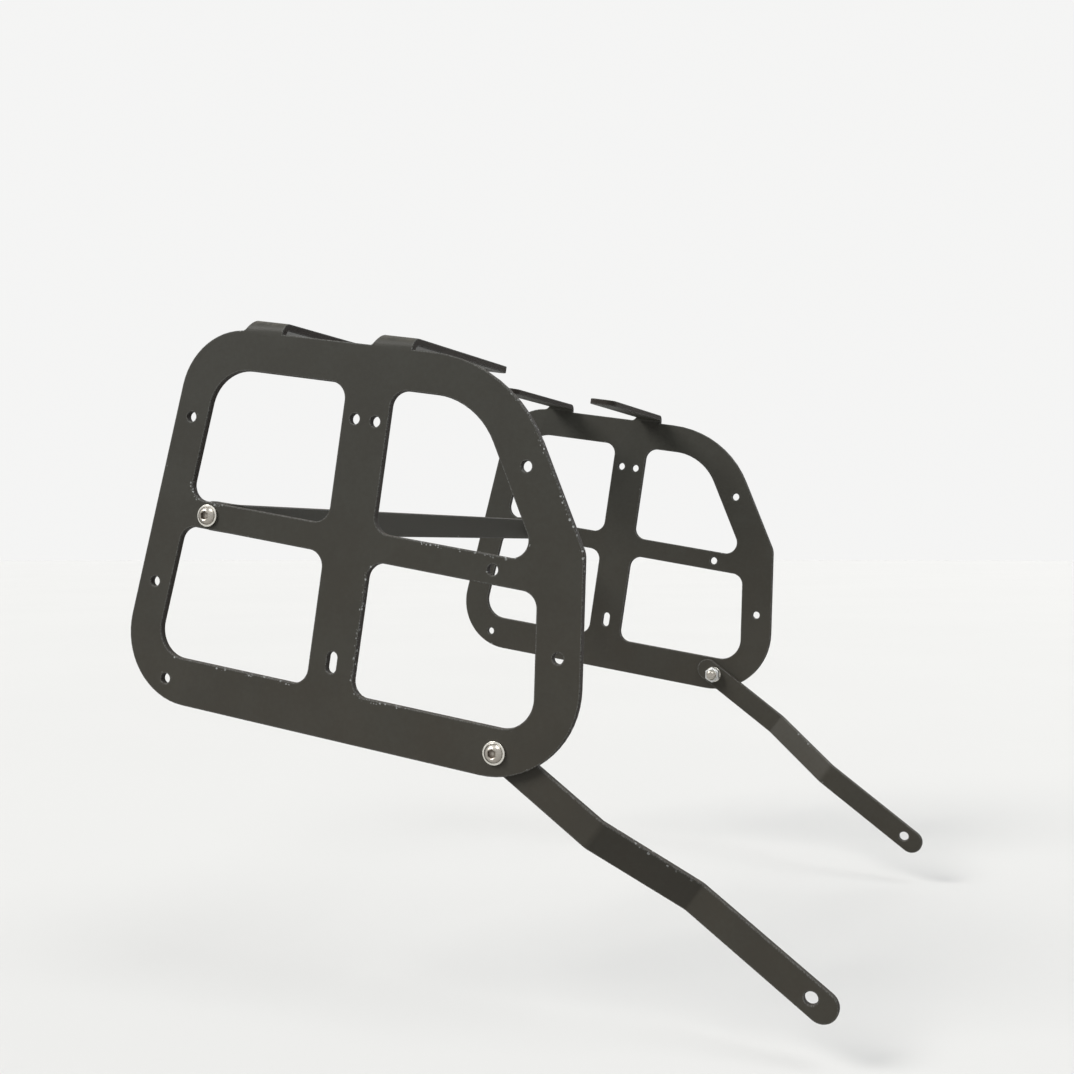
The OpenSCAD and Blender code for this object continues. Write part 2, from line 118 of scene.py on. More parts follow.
@dataclass
class Graph:
    """A hand for wiring nodes in one tree.

    Attributes:
        tree: The node tree that is being built.
    """

    tree: bpy.types.NodeTree

    def add(self, kind: str, **settings: object) -> bpy.types.Node:
        """Add a node.

        Args:
            kind: The node's type.
            **settings: Properties of the node, by name.

        Returns:
            The new node.
        """
        node = self.tree.nodes.new(kind)
        for name, value in settings.items():
            setattr(node, name, value)
        return node

    def feed(self, socket: bpy.types.NodeSocket, value: object) -> None:
        """Link or set an input socket.

        Args:
            socket: The input.
            value: An output socket, or a constant.
        """
        if isinstance(value, bpy.types.NodeSocket):
            self.tree.links.new(value, socket)
        elif value is not None:
            socket.default_value = value

    def math(
        self, operation: str, first: object, second: object = None, third: object = None,
    ) -> bpy.types.NodeSocket:
        """Combine numbers in a clamped or free Math node.

        Args:
            operation: The Math node's operation.
            first: First input.
            second: Second input, if there is one.
            third: Third input, if there is one.

        Returns:
            The result's socket.
        """
        node = self.add("ShaderNodeMath", operation=operation)
        for socket, value in zip(node.inputs, (first, second, third)):
            self.feed(socket, value)
        return node.outputs[0]

    def vector(
        self, operation: str, first: object, second: object = None, scale: object = None,
    ) -> bpy.types.Node:
        """Combine vectors in a Vector Math node.

        Args:
            operation: The Vector Math node's operation.
            first: First vector.
            second: Second vector, if there is one.
            scale: The scale input, for SCALE.

        Returns:
            The node, whose outputs are Vector and Value.
        """
        node = self.add("ShaderNodeVectorMath", operation=operation)
        self.feed(node.inputs[0], first)
        self.feed(node.inputs[1], second)
        if scale is not None:
            self.feed(node.inputs["Scale"], scale)
        return node

    def noise(
        self, where: object, scale: object, detail: float = 2.0, roughness: float = 0.5,
    ) -> bpy.types.NodeSocket:
        """Add a noise texture.

        Args:
            where: The coordinate.
            scale: Cells in a metre.
            detail: Octaves.
            roughness: Weight of the finer octaves.

        Returns:
            The noise's factor.
        """
        node = self.add("ShaderNodeTexNoise")
        self.feed(node.inputs["Vector"], where)
        self.feed(node.inputs["Scale"], scale)
        node.inputs["Detail"].default_value = detail
        node.inputs["Roughness"].default_value = roughness
        return node.outputs["Fac"]

    def ramp(
        self, value: object, low: object, high: object, start: float = 0.0, end: float = 1.0,
    ) -> bpy.types.NodeSocket:
        """Map a range smoothly to another.

        Args:
            value: The value to map.
            low: The value that gives start.
            high: The value that gives end.
            start: Result at low.
            end: Result at high.

        Returns:
            The mapped value.
        """
        node = self.add("ShaderNodeMapRange", interpolation_type="SMOOTHSTEP")
        for name, part in (
            ("Value", value), ("From Min", low), ("From Max", high), ("To Min", start), ("To Max", end),
        ):
            self.feed(node.inputs[name], part)
        return node.outputs["Result"]

    def mix(self, share: object, first: object, second: object) -> bpy.types.NodeSocket:
        """Mix two colours.

        Args:
            share: Share of the second colour.
            first: First colour.
            second: Second colour.

        Returns:
            The mixed colour.
        """
        node = self.add("ShaderNodeMix", data_type="RGBA")
        self.feed(node.inputs["Factor"], share)
        colours = [socket for socket in node.inputs if socket.type == "RGBA"]
        self.feed(colours[0], first)
        self.feed(colours[1], second)
        return next(socket for socket in node.outputs if socket.type == "RGBA")

    def attribute(self, name: str) -> bpy.types.Node:
        """Read one of the mesh's own attributes."""
        return self.add("ShaderNodeAttribute", attribute_type="GEOMETRY", attribute_name=name)

    def group(self, effect: bpy.types.NodeTree, **values: object) -> bpy.types.Node:
        """Place a shared effect.

        Args:
            effect: The node group.
            **values: Its inputs, by name with spaces as underscores.

        Returns:
            The group's node.
        """
        node = self.add("ShaderNodeGroup", node_tree=effect)
        for name, value in values.items():
            self.feed(node.inputs[name.replace("_", " ")], value)
        return node


def new_effect(
    name: str, inputs: dict[str, tuple[str, object]], outputs: dict[str, str],
) -> tuple[Graph, dict, dict]:
    """Start a node group with named sockets.

    Args:
        name: The group's name.
        inputs: Socket kind and first value by input name.
        outputs: Socket kind by output name.

    Returns:
        The group's graph, its inputs by name and its outputs by name.
    """
    tree = bpy.data.node_groups.new(name, "ShaderNodeTree")
    for label, (kind, value) in inputs.items():
        socket = tree.interface.new_socket(label, in_out="INPUT", socket_type=kind)
        if value is not None:
            socket.default_value = value
    for label, kind in outputs.items():
        tree.interface.new_socket(label, in_out="OUTPUT", socket_type=kind)
    graph = Graph(tree)
    entry = graph.add("NodeGroupInput")
    leave = graph.add("NodeGroupOutput")
    return graph, {s.name: s for s in entry.outputs if s.name}, {s.name: s for s in leave.inputs if s.name}


NUMBER = "NodeSocketFloat"
PLACE = "NodeSocketVector"


@dataclass
class Effects:
    """The node groups that several finishes share, each built once."""

    made: dict[str, bpy.types.NodeTree] = field(default_factory=dict)

    def get(self, name: str) -> bpy.types.NodeTree:
        """Give an effect by name, building it the first time.

        Args:
            name: One of coat_grain, edge_chips, cut_marks, settled_dust, painted_warm_bounce and turning_marks.

        Returns:
            The node group.
        """
        if name not in self.made:
            self.made[name] = getattr(self, "_" + name)()
        return self.made[name]

    def _coat_grain(self) -> bpy.types.NodeTree:
        """Fine orange-peel grain of a baked powder, and its slow changes of tone.

        Returns:
            The node group.
        """
        graph, given, out = new_effect(
            "coat_grain",
            {"Place": (PLACE, None), "Grain": (NUMBER, 1400.0), "Patch": (NUMBER, 22.0)},
            {"Height": NUMBER, "Tone": NUMBER},
        )
        fine = graph.noise(given["Place"], given["Grain"], 3.0, 0.6)
        peel = graph.noise(given["Place"], graph.math("MULTIPLY", given["Grain"], 0.34), 1.0)
        graph.feed(out["Height"], graph.math("MULTIPLY_ADD", peel, 0.7, graph.math("MULTIPLY", fine, 0.3)))
        patch = graph.noise(given["Place"], given["Patch"], 3.0, 0.55)
        speck = graph.noise(given["Place"], graph.math("MULTIPLY", given["Patch"], 14.0), 2.0)
        graph.feed(out["Tone"], graph.math("MULTIPLY_ADD", speck, 0.35, graph.math("MULTIPLY", patch, 0.65)))
        return graph.tree

    def _edge_chips(self) -> bpy.types.NodeTree:
        """Small chips that gather along the worn rims, and on every rim a faint rub with a painted highlight.

        Returns:
            The node group.
        """
        graph, given, out = new_effect(
            "edge_chips",
            {"Place": (PLACE, None), "Rim": (NUMBER, 0.0), "Wear": (NUMBER, 0.0), "Size": (NUMBER, 480.0)},
            {"Chip": NUMBER, "Depth": NUMBER, "RubAndHighlight": NUMBER},
        )
        bend = graph.noise(given["Place"], graph.math("MULTIPLY", given["Size"], 2.2), 2.0, 0.6)
        cells = graph.add("ShaderNodeTexVoronoi", feature="F1")
        graph.feed(cells.inputs["Vector"], given["Place"])
        graph.feed(cells.inputs["Scale"], given["Size"])
        apart = graph.add("ShaderNodeSeparateXYZ")
        graph.feed(apart.inputs[0], cells.outputs["Color"])
        cluster = graph.ramp(graph.noise(given["Place"], 95.0, 2.0), 0.36, 0.6)
        crowd = graph.math("MULTIPLY", given["Wear"], graph.math("MULTIPLY_ADD", cluster, 0.62, 0.2))
        chosen = graph.math("LESS_THAN", apart.outputs["X"], graph.math("ADD", crowd, 0.008))
        reach = graph.math("MULTIPLY_ADD", apart.outputs["Y"], 0.22, 0.28)
        gap = graph.math("MULTIPLY_ADD", bend, 0.3, graph.math("ADD", cells.outputs["Distance"], -0.15))
        spot = graph.ramp(graph.math("SUBTRACT", reach, gap), -0.06, 0.08)
        near = graph.ramp(given["Rim"], 0.0, 0.45)
        spot = graph.math("MULTIPLY", graph.math("MULTIPLY", spot, chosen), near)
        bright = graph.ramp(apart.outputs["Z"], 0.0, 1.0, 0.16, 1.0)
        graph.feed(out["Chip"], graph.math("MULTIPLY", spot, bright))
        graph.feed(out["Depth"], spot)
        # A light mask on every rim: partly rub, partly a painted highlight where the rounded rims catch the
        # light.
        graph.feed(
            out["RubAndHighlight"],
            graph.math("MULTIPLY", graph.ramp(given["Rim"], 0.7, 1.0), graph.ramp(bend, 0.35, 0.7)),
        )
        return graph.tree

    def _cut_marks(self) -> bpy.types.NodeTree:
        """Fine lines that a cutting beam leaves across the thickness of a sheet.

        Returns:
            The node group.
        """
        graph, given, out = new_effect(
            "cut_marks",
            {"Place": (PLACE, None), "Across": (PLACE, None), "Lines": (NUMBER, 900.0)},
            {"Height": NUMBER, "Wall": NUMBER},
        )
        reach = graph.vector("DOT_PRODUCT", given["Place"], given["Across"]).outputs["Value"]
        lift = graph.vector(
            "SCALE", given["Across"], scale=graph.math("MULTIPLY", reach, 0.93),
        ).outputs["Vector"]
        flat = graph.vector("SUBTRACT", given["Place"], lift).outputs["Vector"]
        wall = graph.vector("LENGTH", given["Across"]).outputs["Value"]
        lines = graph.noise(flat, given["Lines"], 2.0, 0.6)
        graph.feed(out["Height"], graph.math("MULTIPLY", lines, wall))
        # The wall mask marks the cut walls, which the coat darkens with painted shade.
        graph.feed(out["Wall"], graph.ramp(wall, 0.2, 0.8))
        return graph.tree

    def _settled_dust(self) -> bpy.types.NodeTree:
        """Thin dust that settles on what faces up.

        Returns:
            The node group.
        """
        graph, given, out = new_effect(
            "settled_dust",
            {"Place": (PLACE, None), "Normal": (PLACE, None), "Amount": (NUMBER, 0.3)},
            {"Dust": NUMBER},
        )
        apart = graph.add("ShaderNodeSeparateXYZ")
        graph.feed(apart.inputs[0], given["Normal"])
        level = graph.ramp(apart.outputs["Z"], 0.35, 0.95)
        cloud = graph.noise(given["Place"], 160.0, 4.0, 0.7)
        graph.feed(
            out["Dust"],
            graph.math(
                "MULTIPLY", graph.math("MULTIPLY", level, graph.ramp(cloud, 0.3, 0.75)), given["Amount"],
            ),
        )
        return graph.tree

    def _painted_warm_bounce(self) -> bpy.types.NodeTree:
        """Painted warm bounce light from brown ground below, which grows towards the lower parts.

        Returns:
            The node group.
        """
        graph, given, out = new_effect(
            "painted_warm_bounce",
            {"Place": (PLACE, None), "Top": (NUMBER, 0.10), "Bottom": (NUMBER, -0.17)},
            {"WarmBounce": NUMBER},
        )
        apart = graph.add("ShaderNodeSeparateXYZ")
        graph.feed(apart.inputs[0], given["Place"])
        # Painted warm bounce light: stronger towards the bottom of the frame.
        low = graph.ramp(apart.outputs["Z"], given["Top"], given["Bottom"])
        cloud = graph.ramp(graph.noise(given["Place"], 30.0, 4.0, 0.6), 0.25, 0.75, 0.55, 1.0)
        graph.feed(out["WarmBounce"], graph.math("MULTIPLY", low, cloud))
        return graph.tree

    def _turning_marks(self) -> bpy.types.NodeTree:
        """Rings that a lathe or a die leaves round a fastener's axis.

        Returns:
            The node group.
        """
        graph, given, out = new_effect(
            "turning_marks",
            {"Place": (PLACE, None), "Radius": (NUMBER, 0.0), "Pitch": (NUMBER, 7000.0)},
            {"Height": NUMBER, "Smudge": NUMBER},
        )
        ring = graph.add("ShaderNodeCombineXYZ")
        graph.feed(ring.inputs["X"], graph.math("MULTIPLY", given["Radius"], given["Pitch"]))
        graph.feed(out["Height"], graph.noise(ring.outputs[0], 1.0, 2.0))
        graph.feed(out["Smudge"], graph.noise(given["Place"], 330.0, 3.0, 0.6))
        return graph.tree


@dataclass(frozen=True)
class PowderCoat:
    """Dark satin powder coat over cut steel.

    Attributes:
        name: The material's name.
        base: Colour of the coat.
        shade: Its darker, warmer patches.
        chip_and_highlight: Colour of a chipped rim, and of the rub and painted highlight on every rim.
        dust: Colour of settled dust.
        film: Colour of the painted warm bounce light on the lower parts.
        wall: Painted shade on the cut walls, a darker colour for the shadow that falls inside holes and slots
            and along the walls.
        roughness: Roughness of the coat.
        grain_depth: Height of the grain, in metres.
        cut_depth: Height of the lines on the cut walls, in metres.
        chip_depth: Depth of a chip, in metres.
    """

    name: str = "dark_powder_coat"
    base: tuple[float, float, float, float] = (0.0395, 0.0388, 0.0325, 1.0)
    shade: tuple[float, float, float, float] = (0.0345, 0.0328, 0.0268, 1.0)
    chip_and_highlight: tuple[float, float, float, float] = (0.33, 0.34, 0.34, 1.0)
    dust: tuple[float, float, float, float] = (0.22, 0.20, 0.17, 1.0)
    film: tuple[float, float, float, float] = (0.120, 0.080, 0.048, 1.0)
    wall: tuple[float, float, float, float] = (0.0200, 0.0150, 0.0125, 1.0)
    roughness: float = 0.52
    grain_depth: float = 0.00005
    cut_depth: float = 0.00016
    chip_depth: float = 0.00012

    def build(self, effects: Effects) -> bpy.types.Material:
        """Make the material.

        Args:
            effects: The shared node groups.

        Returns:
            The finished material.
        """
        material, graph, shader = new_material(self.name)
        place = graph.add("ShaderNodeTexCoord").outputs["Object"]
        normal = graph.add("ShaderNodeNewGeometry").outputs["Normal"]
        grain = graph.group(effects.get("coat_grain"), Place=place)
        chips = graph.group(
            effects.get("edge_chips"), Place=place,
            Rim=graph.attribute("rim").outputs["Fac"], Wear=graph.attribute("wear").outputs["Fac"],
        )
        cuts = graph.group(
            effects.get("cut_marks"), Place=place, Across=graph.attribute("across").outputs["Vector"],
        )
        dust = graph.group(effects.get("settled_dust"), Place=place, Normal=normal, Amount=0.30)
        film = graph.group(effects.get("painted_warm_bounce"), Place=place)
        coat = graph.mix(graph.ramp(grain.outputs["Tone"], 0.36, 0.66), self.shade, self.base)
        # Painted warm bounce light: the coat turns warmer towards the bottom.
        coat = graph.mix(graph.math("MULTIPLY", film.outputs["WarmBounce"], 0.07), coat, self.film)
        # Painted shade: every cut wall is darkened towards the wall colour.
        coat = graph.mix(graph.math("MULTIPLY", cuts.outputs["Wall"], 0.75), coat, self.wall)
        # Every rim is lightened towards the chip colour: partly rub, partly a painted highlight.
        worn = graph.mix(graph.math("MULTIPLY", chips.outputs["RubAndHighlight"], 0.26), coat, self.chip_and_highlight)
        worn = graph.mix(chips.outputs["Chip"], worn, self.chip_and_highlight)
        dusty = graph.mix(dust.outputs["Dust"], worn, self.dust)
        graph.feed(shader.inputs["Base Color"], dusty)
        rough = graph.math("MULTIPLY_ADD", grain.outputs["Tone"], 0.16, self.roughness - 0.08)
        rough = graph.math("MULTIPLY_ADD", chips.outputs["Chip"], -0.12, rough)
        rough = graph.math("MULTIPLY_ADD", cuts.outputs["Wall"], 0.2, rough)
        graph.feed(shader.inputs["Roughness"], graph.math("MULTIPLY_ADD", dust.outputs["Dust"], 0.3, rough))
        shader.inputs["Specular IOR Level"].default_value = 0.22
        first = graph.add("ShaderNodeBump")
        first.inputs["Distance"].default_value = self.grain_depth
        graph.feed(first.inputs["Height"], grain.outputs["Height"])
        second = graph.add("ShaderNodeBump")
        second.inputs["Distance"].default_value = self.cut_depth
        graph.feed(second.inputs["Height"], cuts.outputs["Height"])
        graph.feed(second.inputs["Normal"], first.outputs[0])
        third = graph.add("ShaderNodeBump", invert=True)
        third.inputs["Distance"].default_value = self.chip_depth
        graph.feed(third.inputs["Height"], chips.outputs["Depth"])
        graph.feed(third.inputs["Normal"], second.outputs[0])
        graph.feed(shader.inputs["Normal"], third.outputs[0])
        return material


@dataclass(frozen=True)
class BrightSteel:
    """Bare or plated steel of the fasteners.

    Attributes:
        name: The material's name.
        base: Colour of the metal.
        grime: Colour of smudged dirt, and of the painted shade in a screw's socket and the painted reflection
            of brown ground on the lower rim of its dome.
        roughness: Roughness of clean metal.
        ring_depth: Height of the turning marks, in metres.
    """

    name: str
    base: tuple[float, float, float, float]
    grime: tuple[float, float, float, float] = (0.085, 0.058, 0.036, 1.0)
    roughness: float = 0.24
    ring_depth: float = 0.000012

    def build(self, effects: Effects) -> bpy.types.Material:
        """Make the material.

        Args:
            effects: The shared node groups.

        Returns:
            The finished material.
        """
        material, graph, shader = new_material(self.name)
        place = graph.add("ShaderNodeTexCoord").outputs["Object"]
        marks = graph.group(
            effects.get("turning_marks"), Place=place, Radius=graph.attribute("radius").outputs["Fac"],
        )
        # The mesh attribute read here holds painted shade in the socket and a painted reflection of brown
        # ground on the dome's lower rim. Mixed with smudged dirt, it darkens the colour and lowers the metallic
        # weight.
        depth = graph.attribute("grime").outputs["Fac"]
        smudge = marks.outputs["Smudge"]
        smudge_and_painted_shade = graph.ramp(graph.math("MULTIPLY_ADD", smudge, 0.5, depth), 0.3, 1.2, 0.0, 0.9)
        graph.feed(shader.inputs["Base Color"], graph.mix(smudge_and_painted_shade, self.base, self.grime))
        graph.feed(
            shader.inputs["Roughness"], graph.ramp(smudge, 0.3, 0.75, self.roughness, self.roughness + 0.16),
        )
        graph.feed(shader.inputs["Metallic"], graph.ramp(smudge_and_painted_shade, 0.1, 0.9, 1.0, 0.25))
        bump = graph.add("ShaderNodeBump")
        bump.inputs["Distance"].default_value = self.ring_depth
        graph.feed(bump.inputs["Height"], marks.outputs["Height"])
        graph.feed(shader.inputs["Normal"], bump.outputs[0])
        return material


@dataclass(frozen=True)
class NylonRing:
    """Off-white nylon of a lock nut's insert."""

    name: str = "white_nylon"
    base: tuple[float, float, float, float] = (0.62, 0.60, 0.54, 1.0)
    scuff: tuple[float, float, float, float] = (0.40, 0.36, 0.29, 1.0)

    def build(self, effects: Effects) -> bpy.types.Material:
        """Make the material.

        Args:
            effects: The shared node groups.

        Returns:
            The finished material.
        """
        material, graph, shader = new_material(self.name)
        place = graph.add("ShaderNodeTexCoord").outputs["Object"]
        grain = graph.group(effects.get("coat_grain"), Place=place, Grain=2600.0, Patch=240.0)
        graph.feed(
            shader.inputs["Base Color"],
            graph.mix(graph.ramp(grain.outputs["Tone"], 0.3, 0.7), self.scuff, self.base),
        )
        graph.feed(shader.inputs["Roughness"], graph.ramp(grain.outputs["Tone"], 0.3, 0.7, 0.5, 0.38))
        shader.inputs["Subsurface Weight"].default_value = 0.1
        shader.inputs["Subsurface Scale"].default_value = 0.001
        return material


def new_material(name: str) -> tuple[bpy.types.Material, Graph, bpy.types.Node]:
    """Start a material with a Principled shader.

    Args:
        name: The material's name.

    Returns:
        The material, the graph of its tree and its shader node.
    """
    material = bpy.data.materials.new(name)
    material.use_nodes = True
    material.node_tree.nodes.clear()
    graph = Graph(material.node_tree)
    shader = graph.add("ShaderNodeBsdfPrincipled")
    output = graph.add("ShaderNodeOutputMaterial")
    graph.feed(output.inputs["Surface"], shader.outputs[0])
    return material, graph, shader


@dataclass(frozen=True)
class Stretch:
    """A stretch of rim where the coat is chipped.

    Attributes:
        points: Corners of the stretch.
        reach: How far from it the wear fades out, in metres.
        amount: Wear on the stretch itself.
    """

    points: tuple[Vector, ...]
    reach: float = 0.014
    amount: float = 1.0

    def wear_at(self, point: Vector) -> float:
        """Give the wear at a point.

        Args:
            point: The point, in the frame's axes.

        Returns:
            The wear, which is 0 beyond the stretch's reach.
        """
        nearest = min(
            distance_to_line(point, first, last) for first, last in zip(self.points, self.points[1:])
        )
        return self.amount * max(0.0, 1.0 - nearest / self.reach)


def distance_to_line(point: Vector, first: Vector, last: Vector) -> float:
    """Distance from a point to a straight piece of line.

    Args:
        point: The point.
        first: One end of the line.
        last: Its other end.

    Returns:
        The distance, in metres.
    """
    run = last - first
    share = max(0.0, min(1.0, (point - first).dot(run) / max(run.length_squared, 1e-12)))
    return (point - first - run * share).length


@dataclass
class CoatedSheet:
    """A piece of cut and bent steel under powder coat, with the coat's soft rims.

    Attributes:
        node: The node that the piece stands for.
        thickness: Thickness of the steel, in metres.
        rim_r: Radius of a coated rim.
        rim_band: Width of the band beside a rim where the coat wears.
        rim_steps: Faces across a rim's round.
        rim_pitch: Longest stretch of rim between two points.
        stretches: Stretches of chipped rim.
    """

    node: str
    thickness: float = 5 * MM
    rim_r: float = 0.55 * MM
    rim_band: float = 1.8 * MM
    rim_steps: int = 3
    rim_pitch: float = 9 * MM
    stretches: tuple[Stretch, ...] = ()
    piece: bpy.types.Object | None = None

    def build(self) -> bpy.types.Object:
        """Make the softened piece from a copy of its node.

        Returns:
            The new object.
        """
        shape = self._steel()
        self._mark_walls(shape)
        self._split_rims(shape)
        flats, rounds = self._round_rims(shape)
        self._band_rims(shape, flats)
        self._fold(shape)
        self._paint(shape, rounds)
        shape.normal_update()
        self.piece = new_piece(self.node + "_coated", shape, corner_normals(shape, rounds))
        return self.piece

    def dress(self, coat: bpy.types.Material) -> None:
        """Give the piece its finish and its place in the frame.

        Args:
            coat: The coat's material.
        """
        self.piece.data.materials.append(coat)
        settle(self.piece, Slot.COAT, self.node)

    def _steel(self) -> bmesh.types.BMesh:
        """Copy the node's mesh, with one face for each flat side.

        Returns:
            The steel, with sharp rims.
        """
        shape = bmesh.new()
        shape.from_mesh(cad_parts[self.node].data)
        bmesh.ops.remove_doubles(shape, verts=shape.verts, dist=0.002 * MM)
        bmesh.ops.dissolve_limit(
            shape, angle_limit=math.radians(0.4), use_dissolve_boundaries=False,
            verts=shape.verts, edges=shape.edges,
        )
        return shape

    def _fold(self, shape: bmesh.types.BMesh) -> None:
        """Leave a piece as it is that was softened in its final form."""

    def _is_rim(self, edge: bmesh.types.BMEdge) -> bool:
        """True for an outer edge that is sharp."""
        return edge.is_manifold and edge.is_convex and edge.calc_face_angle() > math.radians(38)

    def _mark_walls(self, shape: bmesh.types.BMesh) -> None:
        """Write on each cut wall the direction across the sheet's thickness.

        Args:
            shape: The piece's mesh.
        """
        across = shape.faces.layers.float_vector.new("across")
        for face in shape.faces:
            rims = [
                edge for edge in face.edges if edge.is_manifold and edge.calc_face_angle() > math.radians(38)
            ]
            longest = sorted(rims, key=lambda edge: -edge.calc_length())[:4]
            for number, first in enumerate(longest):
                span = self._span(first, longest[number + 1:])
                if span is not None:
                    face[across] = span
                    break

    def _span(self, first: bmesh.types.BMEdge, others: list[bmesh.types.BMEdge]) -> Vector | None:
        """Direction from one rim to a parallel one that lies a sheet's thickness away, or None.

        Args:
            first: One rim of a face.
            others: The face's other long rims.

        Returns:
            The unit direction, or None.
        """
        start, end = (vertex.co for vertex in first.verts)
        run = (end - start).normalized()
        for other in others:
            low, high = (vertex.co for vertex in other.verts)
            if abs(run.dot((high - low).normalized())) < 0.97:
                continue
            gap = low - start
            gap -= run * gap.dot(run)
            if abs(gap.length - self.thickness) < 0.12 * MM:
                return gap.normalized()
        return None

    def _split_rims(self, shape: bmesh.types.BMesh) -> None:
        """Put points along the long rims, so that wear can change along them.

        Args:
            shape: The piece's mesh.
        """
        longs: dict[int, list[bmesh.types.BMEdge]] = {}
        for edge in shape.edges:
            cuts = int(edge.calc_length() / self.rim_pitch)
            if cuts and self._is_rim(edge):
                longs.setdefault(cuts, []).append(edge)
        for cuts, edges in longs.items():
            bmesh.ops.bisect_edges(shape, edges=edges, cuts=cuts, edge_percents={})

    def _round_rims(
        self, shape: bmesh.types.BMesh,
    ) -> tuple[list[bmesh.types.BMFace], list[bmesh.types.BMFace]]:
        """Round every rim.

        Args:
            shape: The piece's mesh.

        Returns:
            The faces that stay flat and the faces of the rounds.
        """
        rims = [edge for edge in shape.edges if self._is_rim(edge)]
        made = bmesh.ops.bevel(
            shape, geom=rims, offset=self.rim_r, offset_type="OFFSET", segments=self.rim_steps, profile=0.5,
            affect="EDGES", clamp_overlap=False, material=-1, loop_slide=False,
        )
        rounds = list(made["faces"])
        chosen = set(rounds)
        return [face for face in shape.faces if face not in chosen], rounds

    def _band_rims(self, shape: bmesh.types.BMesh, flats: list[bmesh.types.BMFace]) -> None:
        """Lay a narrow band of faces inside every rim.

        Args:
            shape: The piece's mesh.
            flats: Its faces without the rounds.
        """
        bmesh.ops.inset_region(
            shape, faces=flats, use_boundary=True, use_even_offset=True, thickness=self.rim_band, depth=0.0,
        )

    def _paint(self, shape: bmesh.types.BMesh, rounds: list[bmesh.types.BMFace]) -> None:
        """Write how near each point is to a rim, and how worn it is there.

        Args:
            shape: The piece's mesh.
            rounds: The faces of its rounds.
        """
        rim = shape.verts.layers.float.new("rim")
        wear = shape.verts.layers.float.new("wear")
        for face in rounds:
            for vertex in face.verts:
                vertex[rim] = 1.0
        for vertex in shape.verts:
            vertex[wear] = self._wear_at(vertex.co)

    def _wear_at(self, point: Vector) -> float:
        """Wear at a point, from the nearest of the chipped stretches."""
        return max((stretch.wear_at(point) for stretch in self.stretches), default=0.0)


def corner_normals(shape: bmesh.types.BMesh, rounds: list[bmesh.types.BMFace]) -> list[Vector]:
    """Normals that keep flat faces flat beside their rounds.

    Args:
        shape: The piece's mesh.
        rounds: The faces of its rounds.

    Returns:
        One normal for each corner of each face, in order.
    """
    curved = set(rounds)
    normals = []
    for face in shape.faces:
        for vertex in face.verts:
            flat = [other for other in vertex.link_faces if other not in curved]
            pool = [other for other in flat if other.normal.dot(face.normal) > 0.82]
            if face in curved and flat:
                best = max(flat, key=lambda other: other.normal.dot(face.normal))
                pool = [other for other in flat if other.normal.dot(best.normal) > 0.82]
            if not pool:
                pool = [other for other in vertex.link_faces if other.normal.dot(face.normal) > 0.5]
            total = Vector((0.0, 0.0, 0.0))
            for other in pool:
                total += other.normal * (other.calc_area() if other not in curved else 1.0)
            normals.append(total.normalized() if total.length > 0 else face.normal.copy())
    return normals


